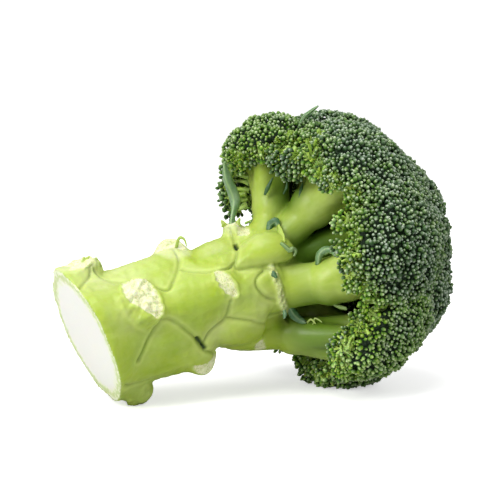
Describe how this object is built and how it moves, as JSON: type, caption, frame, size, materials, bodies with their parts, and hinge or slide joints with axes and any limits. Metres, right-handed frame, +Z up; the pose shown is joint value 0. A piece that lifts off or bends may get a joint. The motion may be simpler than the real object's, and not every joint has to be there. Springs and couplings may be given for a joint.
{
  "type": "broccoli head",
  "caption": "Head of broccoli as cut, lying on its side: a scarred stalk that branches into a dome of bud-covered florets, with a few small leaves.",
  "frame": {"origin": "middle of the whole head's box in X and Y, on the surface that it rests on", "axes": "+X from the cut end of the stalk to the crown, +Z up, -Y the side that the picture shows"},
  "size_m": [0.1737, 0.1172, 0.1226],
  "materials": {
    "stalk": "moist pale green skin with a light waxy bloom",
    "buds": "dark grey-green flower buds, waxy and matt",
    "leaf": "blue-green leaf, satin with a waxy bloom"
  },
  "bodies": {
    "root": {"stalk": "stalk", "floret_top": "buds", "floret_upper": "buds", "floret_upper_front": "buds", "floret_front": "buds", "floret_lower_front": "buds", "floret_bottom": "buds", "floret_lower_back": "buds", "floret_back": "buds", "floret_upper_back": "buds", "floret_inner_front": "buds", "floret_inner_low": "buds", "floret_inner_back": "buds", "floret_inner_high": "buds", "floret_tip": "buds", "leaf_long": "leaf", "leaf_clasping": "leaf", "leaf_tip": "leaf", "leaf_stub": "leaf"}
  },
  "joints": []
}
